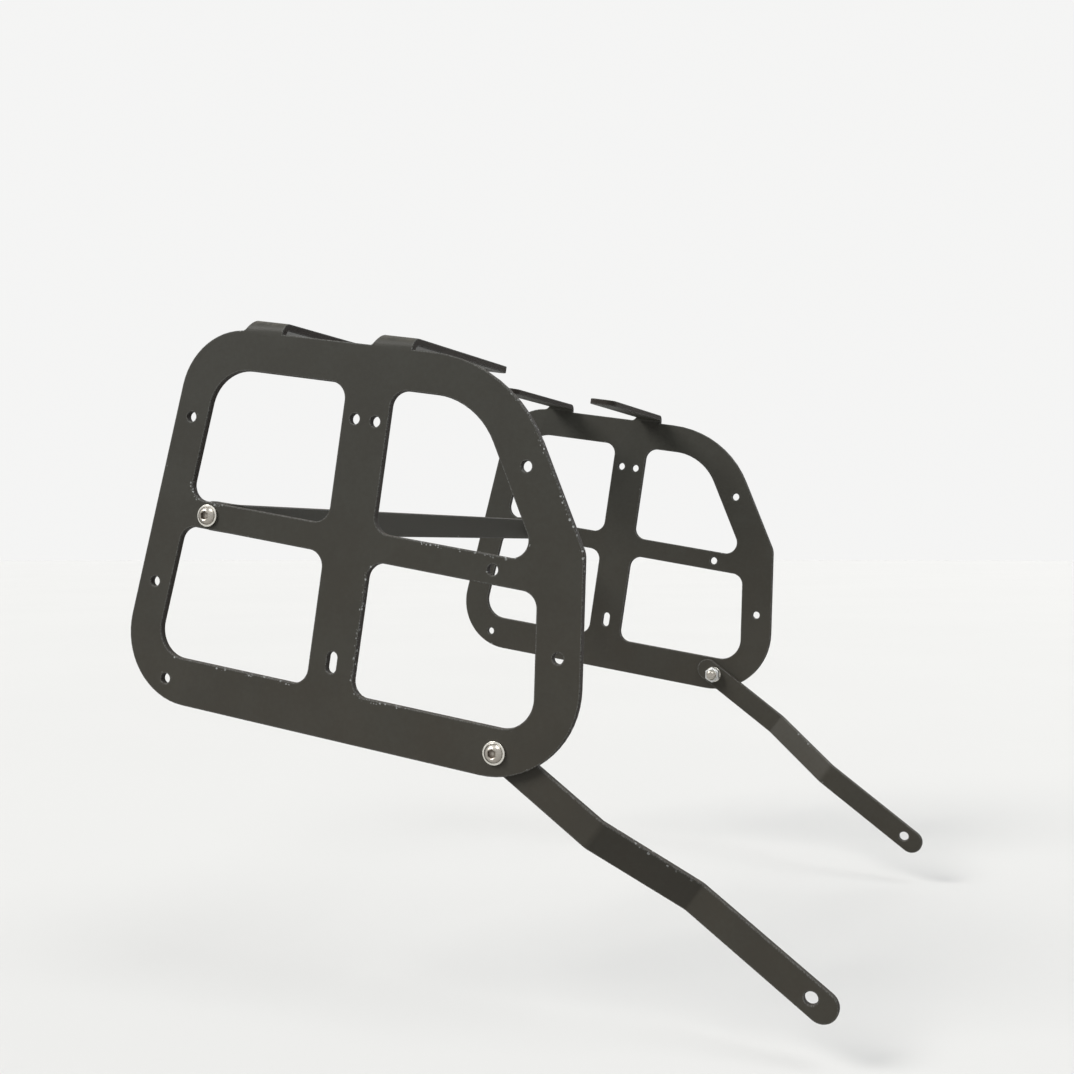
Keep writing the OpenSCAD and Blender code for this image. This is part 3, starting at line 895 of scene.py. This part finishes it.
@dataclass
class FoldedPlate(CoatedSheet):
    """A side plate under powder coat, softened as the flat blank that it is cut as and then folded.

    The blank has X ahead, Y into the steel from the outer skin and Z along the steel.

    Attributes:
        side: The side of the frame.
        fold_steps: Steps across a tongue's bend.
    """

    side: Side = Side.RIGHT
    fold_steps: int = 10

    def _steel(self) -> bmesh.types.BMesh:
        """Lay the outer skin flat and give it the steel's thickness.

        Returns:
            The blank.
        """
        shape = bmesh.new()
        shape.from_mesh(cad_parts["right_side_plate"].data)
        bmesh.ops.remove_doubles(shape, verts=shape.verts, dist=0.002 * MM)
        bmesh.ops.dissolve_degenerate(shape, dist=0.001 * MM, edges=shape.edges)
        skin = self._outer_skin(shape)
        bmesh.ops.delete(shape, geom=[face for face in shape.faces if face not in skin], context="FACES")
        for vertex in shape.verts:
            vertex.co = self._unfolded(vertex.co)
        bmesh.ops.remove_doubles(shape, verts=shape.verts, dist=0.15 * MM)
        bmesh.ops.dissolve_limit(
            shape, angle_limit=math.radians(0.4), use_dissolve_boundaries=False,
            verts=shape.verts, edges=shape.edges,
        )
        for level in self._levels():
            geometry = [*shape.verts, *shape.edges, *shape.faces]
            bmesh.ops.bisect_plane(
                shape, geom=geometry, dist=0.1 * MM, plane_co=(0, 0, level), plane_no=(0, 0, 1),
            )
        inner = bmesh.ops.extrude_face_region(shape, geom=list(shape.faces), use_keep_orig=True)["geom"]
        moved = [part for part in inner if isinstance(part, bmesh.types.BMVert)]
        bmesh.ops.translate(shape, verts=moved, vec=(0, self.thickness, 0))
        bmesh.ops.recalc_face_normals(shape, faces=shape.faces)
        return shape

    def _outer_skin(self, shape: bmesh.types.BMesh) -> set[bmesh.types.BMFace]:
        """Faces of the outer skin, followed from the widest one over the bends.

        Args:
            shape: The plate's mesh.

        Returns:
            The faces.
        """
        widest = max(shape.faces, key=lambda face: face.calc_area() * (face.normal.y < -0.999))
        skin, front = {widest}, [widest]
        while front:
            for edge in front.pop().edges:
                for face in edge.link_faces:
                    if face not in skin and edge.calc_face_angle() < math.radians(38):
                        skin.add(face)
                        front.append(face)
        return skin

    def _unfolded(self, point: Vector) -> Vector:
        """Place on the blank of a point of the right plate's outer skin.

        Args:
            point: The point in the frame's axes.

        Returns:
            The place, in metres.
        """
        ahead = (point.dot(FORWARD) + DATUM.x) / MM
        above = (point.dot(UPWARD) + DATUM.z) / MM
        depth = PLATE_HALF + point.y / MM
        along = above
        if depth > BEND_R - 0.001:
            along = BEND_END + depth - BEND_R
        elif above > TOP_RISE + 0.001:
            along = TOP_RISE + BEND_R * math.atan2(above - TOP_RISE, BEND_R - depth)
        return Vector((ahead, 0.0, along)) * MM

    def _levels(self) -> list[float]:
        """Heights on the blank of the steps across the bends, in metres."""
        steps = [step / self.fold_steps for step in range(1, self.fold_steps + 1)]
        return [(TOP_RISE + 0.06) * MM] + [(TOP_RISE + (BEND_END - TOP_RISE) * step) * MM for step in steps]

    def _fold(self, shape: bmesh.types.BMesh) -> None:
        """Fold the blank's tongues inboard and put the plate on its side of the frame.

        Args:
            shape: The blank.
        """
        across = shape.faces.layers.float_vector["across"]
        inboard = Vector((0.0, -self.side.sign, 0.0))
        for face in shape.faces:
            if face[across].length > 0.5:
                turn = self._turn(face.calc_center_median().z / MM)
                face[across] = inboard * math.cos(turn) - UPWARD * math.sin(turn)
        for vertex in shape.verts:
            ahead, depth, along = vertex.co / MM
            turn, radius = self._turn(along), BEND_R - depth
            above = min(along, TOP_RISE) + radius * math.sin(turn)
            inward = BEND_R - radius * math.cos(turn) + max(along - BEND_END, 0.0)
            vertex.co = on_plate(ahead, above, self.side.sign * (PLATE_HALF - inward) * MM)
        if self.side is Side.LEFT:
            bmesh.ops.reverse_faces(shape, faces=shape.faces)
        shape.normal_update()

    def _turn(self, along: float) -> float:
        """Angle by which the steel is folded at a height on the blank, in millimetres."""
        return min(max((along - TOP_RISE) / BEND_R, 0.0), math.pi / 2)


def new_piece(name: str, shape: bmesh.types.BMesh, normals: list[Vector] | None = None) -> bpy.types.Object:
    """Turn a finished bmesh into an object at the origin.

    Args:
        name: The object's name.
        shape: The mesh, which is freed.
        normals: One normal for each corner of each face, in order, if they are to be set.

    Returns:
        The new object.
    """
    for face in shape.faces:
        face.smooth = True
    mesh = bpy.data.meshes.new(name)
    shape.to_mesh(mesh)
    shape.free()
    if normals is not None:
        mesh.normals_split_custom_set(normals)
    piece = bpy.data.objects.new(name, mesh)
    bpy.context.scene.collection.objects.link(piece)
    LOG.info("%s: %d faces", name, len(mesh.polygons))
    return piece


def settle(piece: bpy.types.Object, slot: Slot, *nodes: str) -> None:
    """Ride a piece on the frame and let it stand for its nodes.

    Args:
        piece: The finished piece.
        slot: The record's material slot; not used.
        *nodes: The nodes that it stands for.
    """
    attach(piece, BODY)
    if nodes:
        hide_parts(*nodes)


@dataclass
class Turning:
    """A piece that is turned about a fastener's axis, drawn as radius and height in millimetres.

    Attributes:
        name: The piece's name.
        axis_at: The point on the axis where height is zero.
        inward: Plus or minus one, the sign of Y in which height grows.
        steps: Faces round the axis.
    """

    name: str
    axis_at: Vector
    inward: float
    steps: int = 64
    shape: bmesh.types.BMesh = field(default_factory=bmesh.new)

    def spin(self, outline: list[tuple[float, float]], closed: bool = True) -> list[bmesh.types.BMVert]:
        """Spin an outline round the axis.

        Args:
            outline: Radius and height of each point, in millimetres.
            closed: Whether the outline joins its ends.

        Returns:
            The vertices that were made.
        """
        before = set(self.shape.verts)
        points = [self.shape.verts.new((radius * MM, 0.0, height * MM)) for radius, height in outline]
        edges = [self.shape.edges.new(pair) for pair in zip(points, points[1:])]
        if closed:
            edges.append(self.shape.edges.new((points[-1], points[0])))
        bmesh.ops.spin(
            self.shape, geom=points + edges, cent=(0, 0, 0), axis=(0, 0, 1), dvec=(0, 0, 0), angle=math.tau,
            steps=self.steps, use_merge=True, use_duplicate=False,
        )
        fresh = [vertex for vertex in self.shape.verts if vertex not in before]
        bmesh.ops.remove_doubles(self.shape, verts=fresh, dist=0.0005 * MM)
        return [vertex for vertex in self.shape.verts if vertex not in before]

    def finish(self, painted_shade_at: Callable[[float, float, float], float] | None = None) -> bpy.types.Object:
        """Write the mesh's attributes, stand it on its axis and turn its faces outward.

        Args:
            painted_shade_at: Share of painted shade for a radius, a height and a rise above the axis, in
                millimetres.

        Returns:
            The new object.
        """
        radius = self.shape.verts.layers.float.new("radius")
        # This attribute carries painted shade and a painted reflection, from the function that is given.
        grime = self.shape.verts.layers.float.new("grime")
        for vertex in self.shape.verts:
            vertex[radius] = vertex.co.xy.length
            if painted_shade_at is not None:
                vertex[grime] = painted_shade_at(vertex.co.xy.length / MM, vertex.co.z / MM, vertex.co.y / MM)
        stand = Matrix(((1, 0, 0), (0, 0, self.inward), (0, 1, 0)))
        for vertex in self.shape.verts:
            vertex.co = self.axis_at + stand @ vertex.co
        turn_outward(self.shape, self.axis_at)
        piece = new_piece(self.name, self.shape)
        smooth_by_angle(piece, math.radians(32))
        return piece


def turn_outward(shape: bmesh.types.BMesh, middle: Vector) -> None:
    """Turn the faces of each closed shell outward, by the sign of the volume that they enclose.

    The operator alone can choose wrongly on shells of a few millimetres.

    Args:
        shape: The mesh, of one or more closed shells.
        middle: A point near the shells.
    """
    bmesh.ops.recalc_face_normals(shape, faces=shape.faces)
    shape.normal_update()
    seen = set()
    for first in shape.faces:
        if first in seen:
            continue
        seen.add(first)
        shell, front = [first], [first]
        while front:
            fresh = [face for edge in front.pop().edges for face in edge.link_faces if face not in seen]
            fresh = list(dict.fromkeys(fresh))
            seen.update(fresh)
            shell += fresh
            front += fresh
        volume = sum((face.calc_center_median() - middle).dot(face.normal) * face.calc_area() for face in shell)
        if volume < 0:
            bmesh.ops.reverse_faces(shape, faces=shell)


def smooth_by_angle(piece: bpy.types.Object, limit: float) -> None:
    """Shade a piece smooth, with its sharp edges kept.

    Args:
        piece: The piece.
        limit: Angle above which an edge is sharp.
    """
    shape = bmesh.new()
    shape.from_mesh(piece.data)
    for edge in shape.edges:
        edge.smooth = not edge.is_manifold or edge.calc_face_angle() < limit
    shape.to_mesh(piece.data)
    shape.free()


def arc(
    centre: tuple[float, float], radius: float, start: float, end: float, steps: int,
) -> list[tuple[float, float]]:
    """Points of an arc in an outline.

    Args:
        centre: Radius and height of the arc's centre.
        radius: The arc's radius.
        start: First angle, in degrees.
        end: Last angle, in degrees.
        steps: Number of chords.

    Returns:
        The points, both ends among them.
    """
    turn = [math.radians(start + (end - start) * step / steps) for step in range(steps + 1)]
    return [(centre[0] + radius * math.cos(a), centre[1] + radius * math.sin(a)) for a in turn]


@dataclass
class ScrewJoint:
    """One joint's fasteners: a button-head screw, two washers and a lock nut.

    Heights are millimetres along the screw, from the underside of its head inward.

    Attributes:
        side: The side of the frame.
        place: The joint's word in the node names.
        head_d: Diameter of the head.
        head_h: Height of the head.
        socket_af: Width of the hexagon socket across its flats.
        socket_depth: Depth of the socket.
        thread_d: Outer diameter of the thread.
        pitch: Pitch of the thread.
        screw_l: Length under the head.
        washer_d: Outer diameter of a washer.
        washer_t: Thickness of a washer.
        hole_d: Hole of a washer.
        nut_af: Width of the nut across its flats.
        hex_h: Height of the nut's hexagon.
        collar_h: Height of its collar.
        ring_d: Outer diameter of its nylon ring.
        ring_h: Height of the ring.
        socket_turn: Angle by which the socket is turned.
        pieces: The finished pieces by their word in the node names.
    """

    side: Side
    place: str
    head_d: float = 12.5
    head_h: float = 4.0
    socket_af: float = 5.0
    socket_depth: float = 2.6
    thread_d: float = 8.0
    pitch: float = 1.25
    screw_l: float = 25.0
    washer_d: float = 15.0
    washer_t: float = 1.6
    hole_d: float = 8.4
    nut_af: float = 13.0
    hex_h: float = 6.2
    collar_h: float = 1.8
    ring_d: float = 10.2
    ring_h: float = 1.5
    socket_turn: float = 0.0
    pieces: dict[str, bpy.types.Object] = field(default_factory=dict)

    def _axis(self, part: str) -> Vector:
        """Point on the axis at the outer face of one of the joint's nodes.

        Args:
            part: The node's name without side and joint.

        Returns:
            The point, in metres.
        """
        low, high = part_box(self._node(part))
        outer = low.y if self.side is Side.RIGHT else high.y
        return Vector(((low.x + high.x) / 2, outer, (low.z + high.z) / 2))

    def _node(self, part: str) -> str:
        """Full name of one of the joint's nodes."""
        return f"{self.side.word}_{self.place}_{part}"

    def _turning(self, part: str, axis_at: Vector, name: str = "") -> Turning:
        """Start a turned piece on this joint's axis."""
        return Turning(name or self._node(part) + "_turned", axis_at, -self.side.sign)

    def build(self) -> None:
        """Make all the joint's pieces."""
        self.pieces["screw"] = self._screw()
        self.pieces["outer_washer"] = self._washer("outer_washer")
        self.pieces["inner_washer"] = self._washer("inner_washer")
        self.pieces["nut"] = self._nut()
        self.pieces["nut_ring"] = self._ring()

    def dress(self, finishes: dict[str, bpy.types.Material]) -> None:
        """Give each piece its finish and its place.

        Args:
            finishes: The finish of a screw, washer, nut and ring, by that word.
        """
        for part, finish, slot in (
            ("screw", finishes["screw"], Slot.STAINLESS),
            ("outer_washer", finishes["washer"], Slot.STAINLESS),
            ("inner_washer", finishes["washer"], Slot.STAINLESS), ("nut", finishes["nut"], Slot.ZINC),
            ("nut_ring", finishes["ring"], Slot.NYLON),
        ):
            self.pieces[part].data.materials.append(finish)
            settle(self.pieces[part], slot, self._node(part))

    def _screw(self) -> bpy.types.Object:
        """Domed head with a hexagon socket, plain neck and thread.

        Returns:
            The new object.
        """
        turning = self._turning("screw", self._axis("outer_washer"))
        self._head(turning.shape, turning)
        self._thread(turning.shape)
        return turning.finish(self._head_painted_shade)

    def _head_painted_shade(self, radius: float, height: float, rise: float) -> float:
        """Painted shade and reflection on the head: painted shade in the socket, darker with depth and lighter
        in the middle of its floor, and a painted reflection of brown ground on the lower side of the dome's
        rim.

        Args:
            radius: Distance from the axis, in millimetres.
            height: Height along the axis from the head's seat, below zero on the head, in millimetres.
            rise: How far the point lies above the axis, in millimetres.

        Returns:
            The share of painted shade and reflection, from 0 to 1.
        """
        # Painted shade in the socket, lighter in the middle of its floor.
        if radius < 3.05 and height < 0:
            sunk = (height + self.head_h) / self.socket_depth
            return 0.15 if radius < 1.0 else min(1.0, max(0.0, 1.4 * sunk))
        # Painted reflection of brown ground, growing towards the lower side of the dome's rim.
        low = max(0.0, 0.35 - rise / self.head_d)
        return 0.9 * low * max(0.0, radius / (self.head_d / 2) - 0.35) if height < 0.2 else 0.0

    def _head(self, shape: bmesh.types.BMesh, turning: Turning) -> None:
        """Head, socket and neck as one closed shell.

        Args:
            shape: The screw's mesh.
            turning: The turning that the mesh belongs to.
        """
        half = self.head_d / 2
        lip = 0.55
        top = self.head_h - lip
        dome = (half ** 2 + top ** 2) / (2 * top)
        mouth = self.socket_af / 2 / math.cos(math.radians(30)) + 0.45
        edge = math.degrees(math.asin((half - 0.12) / dome))
        start = math.degrees(math.asin(mouth / dome))
        outline = [
            (dome * math.sin(math.radians(a)), dome - self.head_h - dome * math.cos(math.radians(a)))
            for a in [start + (edge - start) * step / 14 for step in range(15)]
        ]
        outline += arc((half - 0.25, -0.25), 0.25, -20, 90, 3)[1:]
        neck = self.thread_d / 2 - 0.06
        outline += [(neck + 0.5, 0.0), (neck, 0.35), (neck, 8.0), (0.0, 8.0)]
        turning.spin(outline, closed=False)
        rim = [edge for edge in shape.edges if edge.is_boundary]
        depth_at = outline[0][1] * MM
        made = bmesh.ops.create_circle(
            shape, cap_ends=False, segments=6, radius=self.socket_af / 2 / math.cos(math.radians(30)) * MM,
            matrix=Matrix.Translation((0, 0, depth_at + 0.32 * MM))
            @ Matrix.Rotation(self.socket_turn, 4, "Z"),
        )
        hexagon = [edge for edge in shape.edges if all(v in set(made["verts"]) for v in edge.verts)]
        bmesh.ops.bridge_loops(shape, edges=rim + hexagon)
        sunk = bmesh.ops.extrude_edge_only(shape, edges=hexagon)
        wall = [v for v in sunk["geom"] if isinstance(v, bmesh.types.BMVert)]
        floor_z = (-self.head_h + self.socket_depth) * MM
        for vertex in wall:
            vertex.co.z = floor_z
        floor = bmesh.ops.contextual_create(
            shape, geom=[e for e in shape.edges if all(v in set(wall) for v in e.verts)],
        )["faces"]
        middle = bmesh.ops.poke(shape, faces=floor)["verts"]
        for vertex in middle:
            vertex.co.z += 0.7 * MM

    def _thread(self, shape: bmesh.types.BMesh) -> None:
        """Helical thread with a chamfered end, as a closed shell of its own.

        Args:
            shape: The screw's mesh.
        """
        crest = self.thread_d / 2
        root = crest - 0.61 * self.pitch
        start = 9.0
        turns = math.ceil((self.screw_l - start) / self.pitch) + 2
        first = start - self.pitch
        outline = [
            (root, first), (crest, first + 0.42 * self.pitch), (crest, first + 0.54 * self.pitch),
            (root, first + 0.94 * self.pitch), (root, first + self.pitch),
        ]
        own = bmesh.new()
        points = [own.verts.new((radius * MM, 0.0, height * MM)) for radius, height in outline]
        edges = [own.edges.new(pair) for pair in zip(points, points[1:])]
        steps = 40 * turns
        bmesh.ops.spin(
            own, geom=points + edges, cent=(0, 0, 0), axis=(0, 0, 1),
            dvec=(0, 0, turns * self.pitch * MM / steps),
            angle=math.tau * turns, steps=steps, use_merge=False, use_duplicate=False,
        )
        bmesh.ops.remove_doubles(own, verts=own.verts, dist=0.003 * MM)
        for height, up in ((start, False), (self.screw_l, True)):
            bmesh.ops.bisect_plane(
                own, geom=list(own.verts) + list(own.edges) + list(own.faces), dist=1e-7,
                plane_co=(0, 0, height * MM), plane_no=(0, 0, 1), clear_outer=up, clear_inner=not up,
            )
        bmesh.ops.holes_fill(own, edges=[edge for edge in own.edges if edge.is_boundary], sides=0)
        taper = self.screw_l - 0.8
        for vertex in own.verts:
            over = vertex.co.z / MM - taper
            limit = (crest - over) * MM
            if over > 0 and vertex.co.xy.length > limit:
                vertex.co.xy *= limit / vertex.co.xy.length
        bmesh.ops.recalc_face_normals(own, faces=own.faces)
        scratch = bpy.data.meshes.new("thread_draft")
        own.to_mesh(scratch)
        own.free()
        shape.from_mesh(scratch)
        bpy.data.meshes.remove(scratch)

    def _washer(self, part: str) -> bpy.types.Object:
        """Flat washer, rounded on the side that was punched first.

        Args:
            part: The node's name without side and joint.

        Returns:
            The new object.
        """
        turning = self._turning(part, self._axis(part))
        outer, inner, high = self.washer_d / 2, self.hole_d / 2, self.washer_t
        outline = [(inner, 0.12), (inner + 0.12, 0.0)]
        outline += arc((outer - 0.35, 0.35), 0.35, -90, 0, 4)
        outline += [(outer, high - 0.08), (outer - 0.08, high), (inner + 0.08, high), (inner, high - 0.08)]
        turning.spin(outline)
        return turning.finish()

    def _nut(self) -> bpy.types.Object:
        """Hexagon lock nut with chamfered corners and a crimped collar.

        Returns:
            The new object.
        """
        turning = self._turning("nut", self._axis("nut"))
        flat = self.nut_af / 2
        corner = flat / math.cos(math.radians(30))
        bore = self.thread_d / 2 + 0.05
        collar = flat - 0.6
        crimp = 0.6
        top = self.hex_h + self.collar_h
        outline = [(bore + 0.4, 0.0), (flat - 0.35, 0.0), (corner, 0.8), (corner, self.hex_h - 0.8)]
        outline += [(flat - 0.2, self.hex_h), (collar, self.hex_h), (collar, top - crimp)]
        outline += arc((collar - crimp, top - crimp), crimp, 15, 90, 5)
        pocket = self.ring_d / 2 + 0.01
        outline += [
            (pocket, top), (pocket, top - self.ring_h - 0.2), (bore, top - self.ring_h - 0.2), (bore, 0.4),
        ]
        turning.spin(outline)
        for vertex in turning.shape.verts:
            if vertex.co.xy.length > (corner - 0.01) * MM:
                self._press_flat(vertex, flat, corner)
        return turning.finish()

    def _press_flat(self, vertex: bmesh.types.BMVert, flat: float, corner: float) -> None:
        """Move a point of the nut's side onto its hexagon, and follow the chamfer's cone.

        Args:
            vertex: The point.
            flat: Distance from the axis to a flat, in millimetres.
            corner: Distance from the axis to a corner, in millimetres.
        """
        angle = math.atan2(vertex.co.y, vertex.co.x)
        sector = (angle + math.radians(30)) % math.radians(60) - math.radians(30)
        radius = flat / math.cos(sector)
        share = (corner - radius) * math.tan(math.radians(30)) * MM
        low = vertex.co.z < self.hex_h / 2 * MM
        vertex.co.z += -share if low else share
        vertex.co.xy *= radius * MM / vertex.co.xy.length

    def _ring(self) -> bpy.types.Object:
        """Nylon ring under the nut's crimped collar.

        Returns:
            The new object.
        """
        turning = self._turning("nut_ring", self._axis("nut_ring"))
        inner = self.thread_d / 2 + 0.04
        outer, high = self.ring_d / 2, self.ring_h
        outline = [(inner, 0.0), (outer, 0.0), (outer, high - 0.12), (outer - 0.12, high)]
        outline += [(inner + 0.5, high), (inner, high - 0.3)]
        turning.spin(outline)
        return turning.finish()


@dataclass
class Studio:
    """Pale floor and backdrop, soft lamps and the camera.

    Attributes:
        camera_at: Where the camera stands, in metres.
        look: Direction in which it looks.
        lens: Focal length on the 36 mm sensor.
        floor_gap: Distance from the floor to the frame's lowest point.
        floor_r: Radius of the floor.
        ground: Colour of the floor.
        backdrop: Colour of what is behind the frame.
    """

    camera_at: Vector = field(default_factory=lambda: Vector((0.5272, -1.0675, -0.0182)))
    look: Vector = field(default_factory=lambda: Vector((-0.362, 0.932, 0.0066)))
    lens: float = 46.0
    floor_gap: float = 0.03
    floor_r: float = 30.0
    ground: tuple[float, float, float, float] = (0.40, 0.392, 0.38, 1.0)
    backdrop: tuple[float, float, float, float] = (0.91, 0.91, 0.905, 1.0)

    def build(self) -> None:
        """Make the camera, the floor and the light."""
        self._camera()
        self._floor()
        self._world()
        self._lamp("key", Vector((-0.52, -0.56, 0.65)), 26.0, 2.7, (1.0, 0.99, 0.97))
        self._lamp("top", Vector((0.42, -0.22, 0.88)), 30.0, 1.2, (0.98, 1.0, 1.0))
        self._lamp("back", Vector((0.3, 0.8, 0.52)), 40.0, 0.7, (0.98, 0.99, 1.0))
        bpy.context.scene.view_settings.view_transform = "Standard"

    def _camera(self) -> None:
        """Camera at the photograph's place, without a shift or depth of field."""
        lens = bpy.data.cameras.new("camera")
        lens.lens = self.lens
        lens.sensor_width = 36.0
        lens.sensor_fit = "HORIZONTAL"
        lens.clip_start = 0.01
        camera = bpy.data.objects.new("camera", lens)
        camera.location = self.camera_at
        camera.rotation_euler = self.look.to_track_quat("-Z", "Y").to_euler()
        bpy.context.scene.collection.objects.link(camera)
        bpy.context.scene.camera = camera

    def _floor(self) -> None:
        """Wide round floor, whose far edge is lost in the backdrop."""
        shape = bmesh.new()
        bmesh.ops.create_circle(shape, cap_ends=True, segments=96, radius=self.floor_r)
        bmesh.ops.translate(shape, verts=shape.verts, vec=(0, 0, CAD_BOX[0].z - self.floor_gap))
        floor = new_piece("floor", shape)
        floor.data.materials.append(self._floor_paint())

    def _floor_paint(self) -> bpy.types.Material:
        """Warm grey floor that the camera and bright metal see as nearly white, shadow kept.

        Returns:
            The material.
        """
        material, graph, shader = new_material("pale_floor")
        place = graph.add("ShaderNodeTexCoord").outputs["Object"]
        cloud = graph.ramp(graph.noise(place, 1.3, 2.0), 0.3, 0.7)
        shade = graph.mix(cloud, tuple(0.98 * part for part in self.ground), self.ground)
        graph.feed(shader.inputs["Base Color"], shade)
        shader.inputs["Roughness"].default_value = 0.9
        shader.inputs["Emission Color"].default_value = (0.97, 0.985, 1.0, 1.0)
        graph.feed(shader.inputs["Emission Strength"], graph.math("MULTIPLY", self._looked_at(graph), 0.33))
        return material

    def _looked_at(self, graph: Graph) -> bpy.types.NodeSocket:
        """One for rays that show the backdrop to the camera, to bright metal or through glass.

        Args:
            graph: The node tree that the nodes go into.

        Returns:
            The socket that holds the number.
        """
        path = graph.add("ShaderNodeLightPath")
        seen = graph.math("MAXIMUM", path.outputs["Is Camera Ray"], path.outputs["Is Glossy Ray"])
        return graph.math("MAXIMUM", seen, path.outputs["Is Transmission Ray"])

    def _world(self) -> None:
        """Soft even light, a little cooler from above than from below."""
        world = bpy.data.worlds.new("studio")
        world.use_nodes = True
        world.node_tree.nodes.clear()
        graph = Graph(world.node_tree)
        direction = graph.add("ShaderNodeTexCoord").outputs["Generated"]
        apart = graph.add("ShaderNodeSeparateXYZ")
        graph.feed(apart.inputs[0], direction)
        height = graph.ramp(apart.outputs["Z"], -0.5, 0.9)
        sky = graph.mix(height, (0.21, 0.20, 0.182, 1.0), (0.36, 0.375, 0.37, 1.0))
        front = graph.ramp(apart.outputs["X"], -0.2, 0.9)
        sky = graph.mix(graph.math("MULTIPLY", front, 0.6), sky, (0.06, 0.06, 0.06, 1.0))
        background = graph.add("ShaderNodeBackground")
        graph.feed(background.inputs["Color"], graph.mix(self._looked_at(graph), sky, self.backdrop))
        output = graph.add("ShaderNodeOutputWorld")
        graph.feed(output.inputs["Surface"], background.outputs[0])
        bpy.context.scene.world = world

    def _lamp(
        self, name: str, towards: Vector, spread: float, power: float, colour: tuple[float, float, float],
    ) -> None:
        """Add a broad, soft, far lamp.

        Args:
            name: The lamp's name.
            towards: Direction from the frame to the lamp.
            spread: Angle that the lamp fills, in degrees.
            power: Its power on a square metre.
            colour: Its colour.
        """
        data = bpy.data.lights.new(name, "SUN")
        data.angle = math.radians(spread)
        data.energy = power
        data.color = colour
        lamp = bpy.data.objects.new(name, data)
        lamp.location = towards * 3.0
        lamp.rotation_euler = (-towards).to_track_quat("-Z", "Y").to_euler()
        bpy.context.scene.collection.objects.link(lamp)


def worn_stretches() -> tuple[Stretch, ...]:
    """Chipped stretches of the right side plate's rims.

    Returns:
        The stretches.
    """
    outer = -285 * MM
    lines = (
        ((16.6, -20.0), (16.6, -58.0), (16.6, -88.0), (19.5, -94.6), (26.0, -97.3), (42.0, -97.5)),
        ((104.8, 104.0), (121.5, 86.9), (140.2, 55.5), (156.2, 27.8), (163.5, 13.7)),
        ((57.6, 9.0), (85.6, 8.3), (116.2, 8.7)),
        ((-79.7, -98.2), (-56.0, -97.8), (-32.7, -98.1)),
        ((-121.1, 16.6), (-113.8, 11.5), (-103.9, 10.2)),
    )
    return tuple(Stretch(tuple(on_plate(u, v, outer) for u, v in line)) for line in lines)


def strut_stretch(side: Side) -> Stretch:
    """Chipped upper rim of a strut's middle part."""
    low = 261 * MM * side.sign
    return Stretch((on_plate(200.0, -148.0, low), on_plate(262.0, -180.0, low)), reach=16 * MM, amount=0.8)


def main() -> None:
    """Build and dress every piece, in order."""
    logging.basicConfig(level=logging.INFO, format="%(message)s")
    Studio().build()
    effects = Effects()
    coat = PowderCoat().build(effects)
    finishes = {
        "screw": BrightSteel("dull_stainless_steel", (0.40, 0.375, 0.335, 1.0)).build(effects),
        "washer": BrightSteel(
            "bright_stainless_steel", (0.66, 0.64, 0.59, 1.0), roughness=0.2,
        ).build(effects),
        "nut": BrightSteel("zinc_plated_steel", (0.56, 0.56, 0.55, 1.0), roughness=0.3).build(effects),
        "ring": NylonRing().build(effects),
    }
    sheets = [CoatedSheet("rear_cross_brace")]
    for side in Side:
        worn = worn_stretches() if side is Side.RIGHT else ()
        sheets.append(FoldedPlate(side.word + "_side_plate", stretches=worn, side=side))
        sheets.append(CoatedSheet(side.word + "_strut", stretches=(strut_stretch(side),)))
    for sheet in sheets:
        sheet.build()
        sheet.dress(coat)
    for side in Side:
        for place in ("brace", "strut"):
            joint = ScrewJoint(side, place)
            joint.build()
            joint.dress(finishes)


if __name__ == "__main__":
    main()
